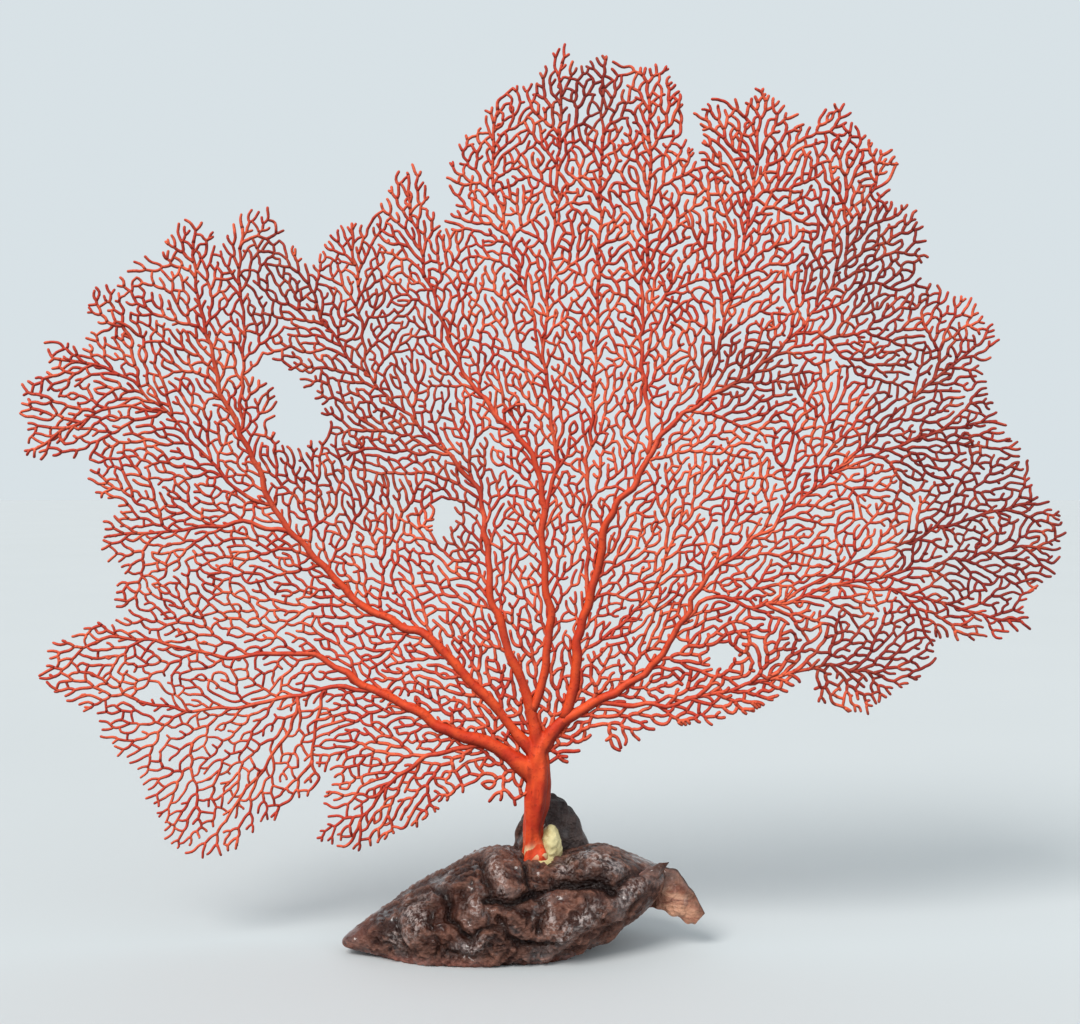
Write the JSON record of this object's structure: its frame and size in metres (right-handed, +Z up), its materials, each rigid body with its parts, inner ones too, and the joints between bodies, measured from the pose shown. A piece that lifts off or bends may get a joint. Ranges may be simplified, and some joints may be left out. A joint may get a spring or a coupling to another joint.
{
  "type": "sea fan",
  "caption": "Flat lacy fan of dried orange-red sea coral, branching from a short trunk set in putty on a dark varnished driftwood base; stands on a table or shelf.",
  "frame": {"origin": "on the table, on the flat underside of the base below the trunk's foot", "axes": "+X to the right along the fan's width, +Y backwards through the fan, +Z up"},
  "size_m": [0.4385, 0.0695, 0.3781],
  "materials": {
    "coral": "dry and matte, with a fine grain",
    "varnished_driftwood": "dark brown under a glossy varnish",
    "putty": "dull set putty"
  },
  "bodies": {
    "root": {"trunk": "coral", "left_limb": "coral", "left_middle_limb": "coral", "left_hanging_limb": "coral", "left_drooping_limb": "coral", "left_low_limb": "coral", "upper_left_limb": "coral", "left_side_limb": "coral", "far_left_limb": "coral", "left_edge_limb": "coral", "left_crest_limb": "coral", "inner_left_limb": "coral", "left_peak_limb": "coral", "centre_limb": "coral", "centre_top_limb": "coral", "upper_centre_limb": "coral", "right_limb": "coral", "right_shoulder_limb": "coral", "inner_right_limb": "coral", "inner_right_spur": "coral", "top_centre_limb": "coral", "top_right_limb": "coral", "right_crest_limb": "coral", "outer_right_limb": "coral", "right_edge_limb": "coral", "far_right_limb": "coral", "right_low_limb": "coral", "driftwood_base": "varnished_driftwood", "putty": "putty"}
  },
  "joints": []
}
